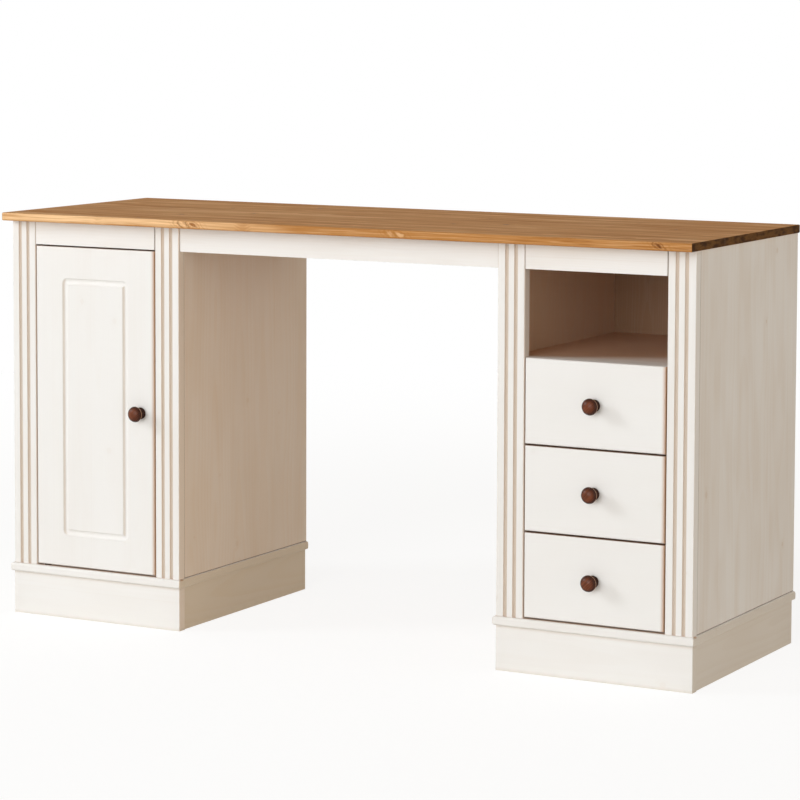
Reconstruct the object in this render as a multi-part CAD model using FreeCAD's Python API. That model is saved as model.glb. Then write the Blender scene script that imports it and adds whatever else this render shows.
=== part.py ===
import FreeCAD, Part
import math
import os

# Kneehole desk: a honey pine top on two white-washed pine pedestals, with a door on the left,
# an open compartment over three drawers on the right and a rail across the kneehole.
# Millimetres. +X runs to the right, +Y to the back and +Z up.
# The origin is on the floor, below the middle of the desk.

Vector = FreeCAD.Vector

# Whole desk
HEIGHT = 762.0
TOP_LENGTH = 1400.0
BODY_DEPTH = 462.0
PEDESTAL_WIDTH = 370.0

# Desk top
TOP_THICKNESS = 15.0
TOP_FRONT_OVERHANG = 29.0
TOP_END_OVERHANG = 4.0
TOP_EDGE_ROUND = 2.2
TOP_CORNER_ROUND = 1.5

# Pedestal boxes
PANEL = 18.0
BACK_PANEL = 8.0
BACK_INSET = 10.0
BACK_GROOVE = 6.0
TOP_RAIL_WIDTH = 80.0
TOP_RAIL_THICKNESS = 18.0
SEAM_CHAMFER = 1.0

# Face frames with fluted stiles
FRAME_THICKNESS = 18.0
STILE_WIDTH = 52.0
HEAD_RAIL_HEIGHT = 44.0
FLUTE_COUNT = 2
FLUTE_PITCH = 17.6
FLUTE_WIDTH = 7.0
FLUTE_DEPTH = 3.3
EDGE_EASE = 2.0

# Plinths and the moulded base boards on them
PLINTH_HEIGHT = 96.0
BASE_BOARD = 16.0
BASE_FRONT_NOSE = 7.0
BASE_SIDE_NOSE = 4.5
BASE_NOSE_ROUND = 4.5
BASE_CORNER_ROUND = 2.0
PLINTH_BOARD = 18.0
PLINTH_SIDE_INSET = 2.5
PLINTH_REAR_INSET = 20.0

# Rails across the kneehole
APRON_THICKNESS = 18.0
APRON_SETBACK = 3.0
FRONT_APRON_HEIGHT = 45.0
REAR_APRON_HEIGHT = 70.0
TENON_LENGTH = 14.0
TENON_THICKNESS = 8.0
TENON_SHOULDER = 7.0

# Door, its routed panel line, pivots and catch
FRONT_BOARD = 18.0
FRONT_GAP = 2.5
SIDE_GAP = 1.5
FRONT_EASE = 3.0
GROOVE_MARGIN = 58.5
GROOVE_WIDTH = 12.0
GROOVE_DEPTH = 3.6
GROOVE_CORNER = 11.0
PIVOT_INSET = 18.0
PIVOT_SETBACK = 8.0
PIN_DIAMETER = 6.0
PIN_IN_DOOR = 14.0
PIN_IN_BUSH = 8.0
BUSH_DIAMETER = 10.0
BUSH_LENGTH = 10.0
BUSH_FLANGE_DIAMETER = 13.0
PIN_CLEARANCE = 0.08
REST_CLEARANCE = 0.3
CATCH_LENGTH = 40.0
CATCH_DEPTH = 14.0
CATCH_HEIGHT = 13.0
CATCH_EDGE = 34.0
PLATE_LENGTH = 30.0
PLATE_THICKNESS = 1.0
PLATE_HEIGHT = 9.0

# Turned knobs
KNOB_REACH = 29.0
KNOB_HEAD_DIAMETER = 29.0
KNOB_RIM_BACK = 17.0
KNOB_RIM_HEIGHT = 1.5
KNOB_FOOT_DIAMETER = 22.0
KNOB_FOOT_HEIGHT = 3.0
KNOB_WAIST_DEPTH = 5.0
KNOB_SIDES = 32
KNOB_WAIST_RINGS = 5
KNOB_DOME_RINGS = 5
DOOR_KNOB_EDGE = 30.0

# Shelves
SHELF = 18.0
COMPARTMENT_HEIGHT = 153.0
CUPBOARD_SHELF_HEIGHT = 300.0
CUPBOARD_SHELF_SETBACK = 30.0
SHELF_SLACK = 0.5
SHELF_PIN_DIAMETER = 5.0
SHELF_PIN_IN_PANEL = 10.0
SHELF_PIN_OUT = 9.0
SHELF_PIN_EDGE = 60.0
SHELF_HOLE_PITCH = 32.0
SHELF_HOLE_STEPS = 1

# Drawer boxes and the wooden runners that they hang on
DRAWER_NAMES = ("bottom", "middle", "top")
BOX_SIDE_CLEARANCE = 6.0
BOX_WALL = 12.0
BOX_LOW = 12.0
BOX_TOP_DROP = 25.0
BOX_REAR_CLEARANCE = 21.0
BOX_BACK_DROP = 8.0
HOUSING_DEPTH = 6.0
BOTTOM_THICKNESS = 5.0
BOTTOM_RAISE = 7.0
BOTTOM_GROOVE = 5.0
RUNNER_HEIGHT = 12.0
RUNNER_ENTRY = 6.0
RUNNER_END_PLAY = 1.0
RUNNER_UNDER_PLAY = 0.7
RUNNER_FRONT_SETBACK = 14.0
RUNNER_REAR_SETBACK = 24.0
RUNNER_NOSE_ROUND = 3.0

LEFT = -1
RIGHT = 1
TOUCH = 1e-4

# Distances from the middle of the desk along X, alike on both sides
BODY_LENGTH = TOP_LENGTH - 2 * TOP_END_OVERHANG
OUTER = BODY_LENGTH / 2
INNER = OUTER - PEDESTAL_WIDTH
BAY_INNER = INNER + PANEL
BAY_OUTER = OUTER - PANEL
OPENING_INNER = INNER + STILE_WIDTH
OPENING_OUTER = OUTER - STILE_WIDTH
OPENING_MIDDLE = (OPENING_INNER + OPENING_OUTER) / 2

# Places along Y
FRONT_REACH = max(KNOB_REACH, TOP_FRONT_OVERHANG)
FRONT = (FRONT_REACH - BODY_DEPTH) / 2
CARCASS_FRONT = FRONT + FRAME_THICKNESS
REAR = FRONT + BODY_DEPTH
BACK_REAR = REAR - BACK_INSET
BACK_FRONT = BACK_REAR - BACK_PANEL
FRONT_BOARD_REAR = FRONT + FRONT_BOARD

# Levels along Z
BASE_LOW = PLINTH_HEIGHT - BASE_BOARD
TOP_UNDER = HEIGHT - TOP_THICKNESS
HEAD_LOW = TOP_UNDER - HEAD_RAIL_HEIGHT
COMPARTMENT_FLOOR = HEAD_LOW - COMPARTMENT_HEIGHT
TOP_RAIL_LOW = TOP_UNDER - TOP_RAIL_THICKNESS
CUPBOARD_SHELF_LOW = PLINTH_HEIGHT + CUPBOARD_SHELF_HEIGHT
SHELF_PIN_LEVEL = CUPBOARD_SHELF_LOW - SHELF_PIN_DIAMETER / 2

# Door and drawer fronts inside their opening
DOOR_LOW = PLINTH_HEIGHT + FRONT_GAP
DOOR_HIGH = HEAD_LOW - FRONT_GAP
DOOR_FREE_EDGE = OPENING_INNER + SIDE_GAP
DOOR_PIVOT_EDGE = OPENING_OUTER - SIDE_GAP
PIVOT_X = DOOR_PIVOT_EDGE - PIVOT_INSET
PIVOT_Y = FRONT + PIVOT_SETBACK
DRAWER_PITCH = (COMPARTMENT_FLOOR - PLINTH_HEIGHT) / len(DRAWER_NAMES)
DRAWER_FRONT_HEIGHT = DRAWER_PITCH - FRONT_GAP
BOX_OUTER = OPENING_OUTER - BOX_SIDE_CLEARANCE
BOX_INNER = OPENING_INNER + BOX_SIDE_CLEARANCE
BOX_REAR = BACK_FRONT - BOX_REAR_CLEARANCE
RUNNER_FRONT = FRONT_BOARD_REAR + RUNNER_FRONT_SETBACK
RUNNER_REAR = BACK_FRONT - RUNNER_REAR_SETBACK


# Small tools for shapes

def across(side, near, far):
    """X range between two distances from the middle, on the left or right side."""
    return tuple(sorted((side * near, side * far)))


def block(x, y, z):
    """Box over three ranges."""
    return Part.makeBox(x[1] - x[0], y[1] - y[0], z[1] - z[0], Vector(x[0], y[0], z[0]))


def rod(diameter, start, direction, length):
    """Round bar that starts at a point and runs along a direction."""
    return Part.makeCylinder(diameter / 2, length, start, direction)


def level_with(edge, axis, value):
    """Whether an edge lies wholly in the plane where the axis has that value."""
    box = edge.BoundBox
    low = getattr(box, axis + "Min")
    high = getattr(box, axis + "Max")
    return abs(low - value) < TOUCH and abs(high - value) < TOUCH


def edges_where(shape, *planes):
    """Edges that lie in all the given (axis, value) planes."""
    return [e for e in shape.Edges if all(level_with(e, axis, value) for axis, value in planes)]


def rounded(shape, radius, edges):
    return shape.makeFillet(radius, edges)


def eased_board(x, y, z, ease):
    """Board with its four front edges eased."""
    board = block(x, y, z)
    return rounded(board, ease, edges_where(board, ("Y", y[0])))


def board_with_seams(x, y, z):
    """Level board with a fine chamfer along the seam at each end of its front."""
    board = block(x, y, z)
    seams = [e for end in x for e in edges_where(board, ("X", end), ("Y", y[0]))]
    return board.makeChamfer(SEAM_CHAMFER, seams)


def segment_radius(width, depth):
    """Radius of the arc that is that wide and that deep."""
    return (width ** 2 / 4 + depth ** 2) / (2 * depth)


def revolved(profile, centre, axis, degrees=360.0):
    """Solid of a closed wire turned about an axis through a point."""
    return Part.Face(profile).revolve(centre, axis, degrees)


def cut_all(shape, tools):
    for tool in tools:
        shape = shape.cut(tool)
    return shape


# Desk top and the rails across the kneehole

def make_top():
    x = (-TOP_LENGTH / 2, TOP_LENGTH / 2)
    y = (FRONT - TOP_FRONT_OVERHANG, REAR)
    z = (TOP_UNDER, HEIGHT)
    top = block(x, y, z)
    corners = [e for i in x for j in y for e in edges_where(top, ("X", i), ("Y", j))]
    top = rounded(top, TOP_CORNER_ROUND, corners)
    rims = edges_where(top, ("Z", TOP_UNDER)) + edges_where(top, ("Z", HEIGHT))
    return rounded(top, TOP_EDGE_ROUND, rims)


def make_apron(front, height):
    """Rail between the pedestals, with a stub tenon at each end."""
    low = TOP_UNDER - height
    rail = board_with_seams((-INNER, INNER), (front, front + APRON_THICKNESS), (low, TOP_UNDER))
    tenon_front = front + (APRON_THICKNESS - TENON_THICKNESS) / 2
    tenons = block(
        (-INNER - TENON_LENGTH, INNER + TENON_LENGTH),
        (tenon_front, tenon_front + TENON_THICKNESS),
        (low + TENON_SHOULDER, TOP_UNDER - TENON_SHOULDER),
    )
    return rail.fuse(tenons).removeSplitter()


# Pedestals: side panels, backs, top rails, face frames, plinths

def make_side(side, near, far, seam_face):
    """Side panel with a fine chamfer along its seams with the stile and the base board."""
    panel = block(across(side, near, far), (CARCASS_FRONT, REAR), (PLINTH_HEIGHT, TOP_UNDER))
    seams = edges_where(panel, ("X", side * seam_face), ("Y", CARCASS_FRONT))
    seams += edges_where(panel, ("X", side * seam_face), ("Z", PLINTH_HEIGHT))
    return panel.makeChamfer(SEAM_CHAMFER, seams)


def make_stile(side, near, far, seam_face):
    """Fluted stile with eased front edges, more so at the opening."""
    stile = block(across(side, near, far), (FRONT, CARCASS_FRONT), (PLINTH_HEIGHT, TOP_UNDER))
    opening_face = near + far - seam_face
    for x, ease in ((seam_face, EDGE_EASE), (opening_face, FRONT_EASE)):
        stile = rounded(stile, ease, edges_where(stile, ("X", side * x), ("Y", FRONT)))
    seam = edges_where(stile, ("X", side * seam_face), ("Y", CARCASS_FRONT))
    stile = stile.makeChamfer(SEAM_CHAMFER, seam)
    radius = segment_radius(FLUTE_WIDTH, FLUTE_DEPTH)
    axis_y = FRONT - (radius - FLUTE_DEPTH)
    middle = (near + far) / 2
    for i in range(FLUTE_COUNT):
        x = side * (middle + (i - (FLUTE_COUNT - 1) / 2) * FLUTE_PITCH)
        start = Vector(x, axis_y, PLINTH_HEIGHT)
        stile = stile.cut(rod(2 * radius, start, Vector(0, 0, 1), TOP_UNDER - PLINTH_HEIGHT))
    return stile


def make_head_rail(side):
    x = across(side, OPENING_INNER, OPENING_OUTER)
    return board_with_seams(x, (FRONT, CARCASS_FRONT), (HEAD_LOW, TOP_UNDER))


def make_back(side):
    x = across(side, BAY_INNER - BACK_GROOVE, BAY_OUTER + BACK_GROOVE)
    return block(x, (BACK_FRONT, BACK_REAR), (PLINTH_HEIGHT, TOP_UNDER))


def make_top_rails(side):
    """Front and rear rails under the desk top, between the side panels."""
    x = across(side, BAY_INNER, BAY_OUTER)
    z = (TOP_RAIL_LOW, TOP_UNDER)
    front = block(x, (CARCASS_FRONT, CARCASS_FRONT + TOP_RAIL_WIDTH), z)
    rear = block(x, (BACK_FRONT - TOP_RAIL_WIDTH, BACK_FRONT), z)
    return [front, rear]


def make_base_board(side):
    """Bottom board whose nose shows as the moulding over the plinth."""
    x = across(side, INNER - BASE_SIDE_NOSE, OUTER + BASE_SIDE_NOSE)
    y = (FRONT - BASE_FRONT_NOSE, REAR)
    board = block(x, y, (BASE_LOW, PLINTH_HEIGHT))
    corners = [e for i in x for e in edges_where(board, ("X", i), ("Y", y[0]))]
    board = rounded(board, BASE_CORNER_ROUND, corners)
    rims = edges_where(board, ("Z", BASE_LOW)) + edges_where(board, ("Z", PLINTH_HEIGHT))
    return rounded(board, BASE_NOSE_ROUND, [e for e in rims if not level_with(e, "Y", REAR)])


def make_plinth(side):
    """Front, outer, inner and rear boards of a plinth, by name."""
    z = (0.0, BASE_LOW)
    outer_face = OUTER - PLINTH_SIDE_INSET
    inner_face = INNER + PLINTH_SIDE_INSET
    side_y = (FRONT + PLINTH_BOARD, REAR)
    rear_y = (REAR - PLINTH_REAR_INSET - PLINTH_BOARD, REAR - PLINTH_REAR_INSET)
    rear_x = across(side, inner_face + PLINTH_BOARD, outer_face - PLINTH_BOARD)
    return {
        "front": block(across(side, INNER, OUTER), (FRONT, FRONT + PLINTH_BOARD), z),
        "outer_side": block(across(side, outer_face - PLINTH_BOARD, outer_face), side_y, z),
        "inner_side": block(across(side, inner_face, inner_face + PLINTH_BOARD), side_y, z),
        "rear": block(rear_x, rear_y, z),
    }


def make_pedestal(side):
    """Pieces that both pedestals have, by name."""
    back = make_back(side)
    pieces = {
        "outer_side": make_side(side, BAY_OUTER, OUTER, OUTER).cut(back),
        "inner_side": make_side(side, INNER, BAY_INNER, INNER).cut(back),
        "back_panel": back,
        "top_rails": make_top_rails(side),
        "outer_stile": make_stile(side, OPENING_OUTER, OUTER, OUTER),
        "inner_stile": make_stile(side, INNER, OPENING_INNER, INNER),
        "head_rail": make_head_rail(side),
        "base_board": make_base_board(side),
    }
    for name, board in make_plinth(side).items():
        pieces["plinth_" + name] = board
    return pieces


# Shelves

def make_compartment_shelf():
    y = (FRONT_BOARD_REAR + REST_CLEARANCE, BACK_FRONT)
    return block(across(RIGHT, BAY_INNER, BAY_OUTER), y, (COMPARTMENT_FLOOR - SHELF, COMPARTMENT_FLOOR))


def make_cupboard_shelf():
    x = across(LEFT, BAY_INNER + SHELF_SLACK, BAY_OUTER - SHELF_SLACK)
    y = (CARCASS_FRONT + CUPBOARD_SHELF_SETBACK, BACK_FRONT - SHELF_SLACK)
    return eased_board(x, y, (CUPBOARD_SHELF_LOW, CUPBOARD_SHELF_LOW + SHELF), EDGE_EASE)


def shelf_pin_columns():
    """Front and rear places of the shelf pins along Y."""
    front = CARCASS_FRONT + CUPBOARD_SHELF_SETBACK + SHELF_PIN_EDGE
    return (front, BACK_FRONT - SHELF_PIN_EDGE)


def make_shelf_pins(level, length_out):
    """Pins in both side panels of the cupboard at one level."""
    length = SHELF_PIN_IN_PANEL + length_out
    pins = []
    for y in shelf_pin_columns():
        near = Vector(LEFT * (BAY_INNER - SHELF_PIN_IN_PANEL), y, level)
        far = Vector(LEFT * (BAY_OUTER + SHELF_PIN_IN_PANEL), y, level)
        pins.append(rod(SHELF_PIN_DIAMETER, near, Vector(LEFT, 0, 0), length))
        pins.append(rod(SHELF_PIN_DIAMETER, far, Vector(RIGHT, 0, 0), length))
    return pins


def make_shelf_holes():
    """Rows of holes that let the shelf go higher or lower."""
    steps = range(-SHELF_HOLE_STEPS, SHELF_HOLE_STEPS + 1)
    return [hole for i in steps for hole in make_shelf_pins(SHELF_PIN_LEVEL + i * SHELF_HOLE_PITCH, 0.0)]


# Knobs

def knob_profile():
    """Radius and reach of each ring of a knob, from its foot to just before its tip."""
    head = KNOB_HEAD_DIAMETER / 2
    foot = KNOB_FOOT_DIAMETER / 2
    rings = [(foot, 0.0)]
    for i in range(KNOB_WAIST_RINGS + 1):
        share = i / KNOB_WAIST_RINGS
        radius = foot + (head - foot) * share - KNOB_WAIST_DEPTH * math.sin(math.pi * share)
        rings.append((radius, KNOB_FOOT_HEIGHT + (KNOB_RIM_BACK - KNOB_FOOT_HEIGHT) * share))

    # The dome is a slice of a ball from the rim to the tip.
    rim_front = KNOB_RIM_BACK + KNOB_RIM_HEIGHT
    ball = segment_radius(KNOB_HEAD_DIAMETER, KNOB_REACH - rim_front)
    rim_angle = math.asin(head / ball)
    for i in range(KNOB_DOME_RINGS):
        angle = rim_angle * (1 - i / KNOB_DOME_RINGS)
        rings.append((ball * math.sin(angle), KNOB_REACH - ball * (1 - math.cos(angle))))
    return rings


def flat(*corners):
    """Plane face through corners given in order."""
    return Part.Face(Part.makePolygon([*corners, corners[0]]))


def make_knob(x, z):
    """Turned knob with a domed head, a waist and a foot, in short flats all round."""
    turns = [2 * math.pi * i / KNOB_SIDES for i in range(KNOB_SIDES)]
    rings = [
        [Vector(x + radius * math.cos(t), FRONT - reach, z + radius * math.sin(t)) for t in turns]
        for radius, reach in knob_profile()
    ]
    tip = Vector(x, FRONT - KNOB_REACH, z)
    flats = [flat(*rings[0])]
    for i in range(KNOB_SIDES):
        for back, front in zip(rings, rings[1:]):
            flats.append(flat(back[i - 1], back[i], front[i], front[i - 1]))
        flats.append(flat(rings[-1][i - 1], rings[-1][i], tip))
    return Part.makeSolid(Part.makeShell(flats))


# Door

def door_groove_cutters():
    """Round-bottomed line routed into the door: four straight runs and four corners."""
    radius = segment_radius(GROOVE_WIDTH, GROOVE_DEPTH)
    axis_y = FRONT - (radius - GROOVE_DEPTH)
    x_low = LEFT * DOOR_PIVOT_EDGE + GROOVE_MARGIN
    x_high = LEFT * DOOR_FREE_EDGE - GROOVE_MARGIN
    z_low = DOOR_LOW + GROOVE_MARGIN
    z_high = DOOR_HIGH - GROOVE_MARGIN
    half = GROOVE_WIDTH / 2
    bend = GROOVE_CORNER
    run_x = x_high - x_low - 2 * bend
    run_z = z_high - z_low - 2 * bend
    cutters = []
    for z in (z_low + half, z_high - half):
        cutters.append(rod(2 * radius, Vector(x_low + bend, axis_y, z), Vector(1, 0, 0), run_x))
    for x in (x_low + half, x_high - half):
        cutters.append(rod(2 * radius, Vector(x, axis_y, z_low + bend), Vector(0, 0, 1), run_z))

    # Section of the line beside the corner's own centre, from that centre out to the line's outer edge
    run = bend - half
    depth_at_centre = max(math.sqrt(max(radius ** 2 - run ** 2, 0.0)) - (radius - GROOVE_DEPTH), 0.0)
    for x, x_way in ((x_low + bend, -1), (x_high - bend, 1)):
        for z, z_way in ((z_low + bend, -1), (z_high - bend, 1)):
            def at(reach, depth):
                return Vector(x + x_way * reach, FRONT + depth, z)

            near = max(0.0, run - half)
            near_depth = depth_at_centre if run < half else 0.0
            deepest = at(run, GROOVE_DEPTH)
            lines = [Part.Arc(at(bend, 0), deepest, at(near, near_depth)).toShape()]
            if near_depth > TOUCH:
                lines.append(Part.makeLine(at(near, near_depth), at(near, 0)))
            lines.append(Part.makeLine(at(near, 0), at(bend, 0)))
            turn = -90.0 * x_way * z_way
            cutters.append(revolved(Part.Wire(lines), Vector(x, FRONT, z), Vector(0, 1, 0), turn))
    return cutters


def pivot_places():
    """Top and bottom pivots of the door: level of the door's edge and the way out of it."""
    return ((DOOR_HIGH, 1), (DOOR_LOW, -1))


def make_pivot_pins():
    length = PIN_IN_DOOR + FRONT_GAP + PIN_IN_BUSH
    return [
        rod(PIN_DIAMETER, Vector(LEFT * PIVOT_X, PIVOT_Y, z - way * PIN_IN_DOOR), Vector(0, 0, way), length)
        for z, way in pivot_places()
    ]


def bush_bodies():
    """Outer forms of the flanged bushes, without their bores."""
    bodies = []
    for z, way in pivot_places():
        seat = Vector(LEFT * PIVOT_X, PIVOT_Y, z + way * FRONT_GAP)
        flange_start = Vector(LEFT * PIVOT_X, PIVOT_Y, z + way * REST_CLEARANCE)
        flange = rod(BUSH_FLANGE_DIAMETER, flange_start, Vector(0, 0, way), FRONT_GAP - REST_CLEARANCE)
        sleeve = rod(BUSH_DIAMETER, seat, Vector(0, 0, way), BUSH_LENGTH)
        bodies.append(flange.fuse(sleeve).removeSplitter())
    return bodies


def make_bushes():
    bores = [
        rod(PIN_DIAMETER + 2 * PIN_CLEARANCE, Vector(LEFT * PIVOT_X, PIVOT_Y, z), Vector(0, 0, way),
            FRONT_GAP + BUSH_LENGTH)
        for z, way in pivot_places()
    ]
    return [body.cut(bore) for body, bore in zip(bush_bodies(), bores)]


def catch_middle():
    return LEFT * (DOOR_FREE_EDGE + CATCH_EDGE)


def make_catch_plate():
    """Steel plate on the back of the door."""
    x = catch_middle()
    z = PLINTH_HEIGHT + CATCH_HEIGHT / 2
    return block(
        (x - PLATE_LENGTH / 2, x + PLATE_LENGTH / 2),
        (FRONT_BOARD_REAR, FRONT_BOARD_REAR + PLATE_THICKNESS),
        (z - PLATE_HEIGHT / 2, z + PLATE_HEIGHT / 2),
    )


def make_magnet_catch():
    """Magnet housing on the base board, just behind the plate."""
    x = catch_middle()
    y = FRONT_BOARD_REAR + PLATE_THICKNESS + REST_CLEARANCE
    return block(
        (x - CATCH_LENGTH / 2, x + CATCH_LENGTH / 2),
        (y, y + CATCH_DEPTH),
        (PLINTH_HEIGHT, PLINTH_HEIGHT + CATCH_HEIGHT),
    )


def make_door():
    """Door panel, knob, pivot pins and catch plate, by name."""
    x = across(LEFT, DOOR_FREE_EDGE, DOOR_PIVOT_EDGE)
    panel = eased_board(x, (FRONT, FRONT_BOARD_REAR), (DOOR_LOW, DOOR_HIGH), FRONT_EASE)
    panel = cut_all(panel, door_groove_cutters())
    pins = make_pivot_pins()
    knob_x = LEFT * (DOOR_FREE_EDGE + DOOR_KNOB_EDGE)
    knob_z = (DOOR_LOW + DOOR_HIGH) / 2
    return {
        "door_panel": cut_all(panel, pins),
        "door_knob": make_knob(knob_x, knob_z),
        "door_pivot_pins": pins,
        "catch_plate": make_catch_plate(),
    }


# Drawers and their runners

def drawer_low(index):
    """Lower edge of a drawer front, counted from the bottom."""
    return PLINTH_HEIGHT + FRONT_GAP + index * DRAWER_PITCH


def box_range(index):
    """Levels of a drawer box's sides."""
    low = drawer_low(index)
    return (low + BOX_LOW, low + DRAWER_FRONT_HEIGHT - BOX_TOP_DROP)


def runner_range(index):
    """Levels of a drawer's runners, at the middle of its sides."""
    middle = sum(box_range(index)) / 2
    return (middle - RUNNER_HEIGHT / 2, middle + RUNNER_HEIGHT / 2)


def make_runner(index, wall, tip):
    """Wooden runner from a side panel into the groove of a drawer side."""
    x = across(RIGHT, wall, tip)
    runner = block(x, (RUNNER_FRONT, RUNNER_REAR), runner_range(index))
    nose = edges_where(runner, ("X", RIGHT * tip), ("Y", RUNNER_FRONT))
    return rounded(runner, RUNNER_NOSE_ROUND, nose)


def make_runners(wall, box_face, way):
    """The three runners on one side panel; way points from the panel into the drawer."""
    tip = box_face + way * RUNNER_ENTRY
    return [make_runner(i, wall, tip) for i in range(len(DRAWER_NAMES))]


def make_drawer(index):
    """Front, two sides, back, bottom and knob of a drawer, by name."""
    low = drawer_low(index)
    box_z = box_range(index)
    box_y = (FRONT_BOARD_REAR - HOUSING_DEPTH, BOX_REAR)
    bottom_z = (box_z[0] + BOTTOM_RAISE, box_z[0] + BOTTOM_RAISE + BOTTOM_THICKNESS)
    middle_z = low + DRAWER_FRONT_HEIGHT / 2

    bottom_x = (BOX_INNER + BOX_WALL - BOTTOM_GROOVE, BOX_OUTER - BOX_WALL + BOTTOM_GROOVE)
    bottom = block(bottom_x, (FRONT_BOARD_REAR - BOTTOM_GROOVE, BOX_REAR), bottom_z)

    runner_z = runner_range(index)
    groove_z = (runner_z[0] - RUNNER_UNDER_PLAY, runner_z[1] + REST_CLEARANCE)
    groove_y = (RUNNER_FRONT - RUNNER_END_PLAY, BOX_REAR)
    groove_depth = RUNNER_ENTRY + RUNNER_END_PLAY
    left = block((BOX_INNER, BOX_INNER + BOX_WALL), box_y, box_z).cut(bottom)
    left = left.cut(block((BOX_INNER, BOX_INNER + groove_depth), groove_y, groove_z))
    right = block((BOX_OUTER - BOX_WALL, BOX_OUTER), box_y, box_z).cut(bottom)
    right = right.cut(block((BOX_OUTER - groove_depth, BOX_OUTER), groove_y, groove_z))

    back_x = (BOX_INNER + BOX_WALL, BOX_OUTER - BOX_WALL)
    back = block(back_x, (BOX_REAR - BOX_WALL, BOX_REAR), (bottom_z[1], box_z[1] - BOX_BACK_DROP))

    front_x = (OPENING_INNER + SIDE_GAP, OPENING_OUTER - SIDE_GAP)
    front = eased_board(front_x, (FRONT, FRONT_BOARD_REAR), (low, low + DRAWER_FRONT_HEIGHT), FRONT_EASE)
    return {
        "front": cut_all(front, (left, right, bottom)),
        "left_side": left,
        "right_side": right,
        "back": back,
        "bottom": bottom,
        "knob": make_knob(OPENING_MIDDLE, middle_z),
    }


# Whole desk

def make_desk():
    """Every node of the desk: a solid, or a list of solids, by name."""
    nodes = {}
    for side, word in ((LEFT, "left"), (RIGHT, "right")):
        for name, shape in make_pedestal(side).items():
            nodes[f"{word}_{name}"] = shape

    nodes["front_apron"] = make_apron(FRONT + APRON_SETBACK, FRONT_APRON_HEIGHT)
    nodes["rear_apron"] = make_apron(BACK_FRONT - APRON_THICKNESS, REAR_APRON_HEIGHT)
    for word in ("left", "right"):
        for piece, rail in (("inner_stile", "front_apron"), ("inner_side", "rear_apron")):
            name = f"{word}_{piece}"
            nodes[name] = nodes[name].cut(nodes[rail])

    nodes["desk_top"] = make_top()
    nodes["compartment_shelf"] = make_compartment_shelf()
    nodes["cupboard_shelf"] = make_cupboard_shelf()
    nodes["shelf_pins"] = make_shelf_pins(SHELF_PIN_LEVEL, SHELF_PIN_OUT)
    for name in ("left_outer_side", "left_inner_side"):
        nodes[name] = cut_all(nodes[name], make_shelf_holes())

    nodes.update(make_door())
    nodes["pivot_bushes"] = make_bushes()
    nodes["magnet_catch"] = make_magnet_catch()
    for name in ("left_head_rail", "left_base_board"):
        nodes[name] = cut_all(nodes[name], bush_bodies())

    nodes["left_drawer_runners"] = make_runners(BAY_INNER, BOX_INNER, 1)
    nodes["right_drawer_runners"] = make_runners(BAY_OUTER, BOX_OUTER, -1)
    for index, word in enumerate(DRAWER_NAMES):
        for name, shape in make_drawer(index).items():
            nodes[f"{word}_drawer_{name}"] = shape
    return nodes


def write_nodes(nodes):
    os.makedirs("parts", exist_ok=True)
    for name, shape in nodes.items():
        solids = shape if isinstance(shape, list) else [shape]
        whole = solids[0] if len(solids) == 1 else Part.makeCompound(solids)
        if not whole.isValid():
            raise ValueError(f"{name} is not a valid shape")
        whole.exportStep(f"parts/{name}.step")


write_nodes(make_desk())
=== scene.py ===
import math
from typing import NamedTuple

import bmesh
import bpy
from mathutils import Matrix, Vector


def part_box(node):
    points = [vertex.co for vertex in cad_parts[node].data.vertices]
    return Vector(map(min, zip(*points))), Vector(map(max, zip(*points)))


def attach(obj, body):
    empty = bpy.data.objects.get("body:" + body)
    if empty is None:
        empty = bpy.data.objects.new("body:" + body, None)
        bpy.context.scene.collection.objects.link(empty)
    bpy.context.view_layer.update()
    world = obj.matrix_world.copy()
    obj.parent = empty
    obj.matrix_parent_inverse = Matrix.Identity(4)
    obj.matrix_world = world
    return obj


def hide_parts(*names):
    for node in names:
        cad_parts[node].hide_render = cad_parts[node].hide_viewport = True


# Kneehole desk in white-washed pine with a waxed honey pine top.
# Metres. The desk's front looks along -Y, and the origin is on the floor below its middle.

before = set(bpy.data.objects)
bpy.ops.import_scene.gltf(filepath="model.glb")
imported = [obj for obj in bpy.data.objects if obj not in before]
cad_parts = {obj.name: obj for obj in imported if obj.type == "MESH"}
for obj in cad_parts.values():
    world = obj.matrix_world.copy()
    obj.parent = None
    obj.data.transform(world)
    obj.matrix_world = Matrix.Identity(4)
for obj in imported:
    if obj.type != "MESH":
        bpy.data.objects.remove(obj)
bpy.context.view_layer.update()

DRAWERS = ("bottom", "middle", "top")
PEDESTALS = ("left", "right")
AXES = "xyz"

LEFTWARD = (-1.0, 0.0, 0.0)
RIGHTWARD = (1.0, 0.0, 0.0)
FORWARD = (0.0, -1.0, 0.0)
BACKWARD = (0.0, 1.0, 0.0)
UPWARD = (0.0, 0.0, 1.0)
DOWNWARD = (0.0, 0.0, -1.0)
# Away from the desk's middle and towards it, for each pedestal
OUTWARD = {"left": LEFTWARD, "right": RIGHTWARD}
INWARD = {"left": RIGHTWARD, "right": LEFTWARD}


def middle_of(node):
    """Middle of a CAD node's box."""
    low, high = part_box(node)
    return [(a + b) / 2 for a, b in zip(low, high)]


def end_of(node, axis, at_high):
    """Place of a CAD node's low or high end along an axis."""
    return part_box(node)[int(at_high)][AXES.index(axis)]


# Colours of the finishes, and of painted shade and light

def srgb(red, green, blue):
    """Linear colour of a paint chip given in screen values from 0 to 255."""
    def linear(value):
        share = value / 255
        return share / 12.92 if share <= 0.04045 else ((share + 0.055) / 1.055) ** 2.4
    return (linear(red), linear(green), linear(blue), 1.0)


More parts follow.
